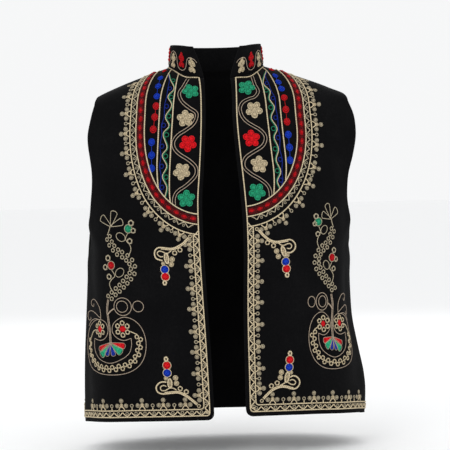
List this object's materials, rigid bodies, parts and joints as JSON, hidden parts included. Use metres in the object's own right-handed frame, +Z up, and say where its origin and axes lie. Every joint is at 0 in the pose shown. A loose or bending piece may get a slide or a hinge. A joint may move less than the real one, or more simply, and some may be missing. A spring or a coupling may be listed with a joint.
{
  "type": "embroidered folk vest",
  "caption": "Sleeveless open-front felt vest with a standing collar, couched cord borders, a flowered yoke on each front and side sprays.",
  "frame": {"origin": "middle of the neck, at the height where the shoulder seams meet the collar, where the wearer's shoulders hold the vest up", "axes": "+Z up, -Y out of the front, +X towards the wearer's left"},
  "size_m": [0.4632, 0.2816, 0.6148],
  "materials": {
    "felt_black": "matt fulled wool felt",
    "cord_beige": "couched twisted cord",
    "thread_beige": "satin embroidery thread",
    "thread_red": "satin embroidery thread",
    "thread_green": "satin embroidery thread",
    "thread_blue": "satin embroidery thread"
  },
  "bodies": {
    "root": {"back": "felt_black", "border_cord_back": "cord_beige", "border_cord_left": "cord_beige", "border_cord_right": "cord_beige", "collar": "felt_black", "column_cord_inner_left": "cord_beige", "column_cord_inner_right": "cord_beige", "column_cord_outer_left": "cord_beige", "column_cord_outer_right": "cord_beige", "edge_cord_left": "cord_beige", "edge_cord_right": "cord_beige", "flower_1_left": "thread_green", "flower_1_right": "thread_green", "flower_2_left": "thread_beige", "flower_2_right": "thread_beige", "flower_3_left": "thread_red", "flower_3_right": "thread_red", "flower_4_left": "thread_beige", "flower_4_right": "thread_beige", "flower_5_left": "thread_green", "flower_5_right": "thread_green", "front_left": "felt_black", "front_right": "felt_black", "hem_cord_back": "cord_beige", "yoke_chain_band_left": "thread_red", "yoke_chain_band_right": "thread_red", "yoke_cord_inner_left": "cord_beige", "yoke_cord_inner_right": "cord_beige", "yoke_cord_middle_left": "cord_beige", "yoke_cord_middle_right": "cord_beige", "yoke_cord_outer_left": "cord_beige", "yoke_cord_outer_right": "cord_beige"}
  },
  "joints": []
}
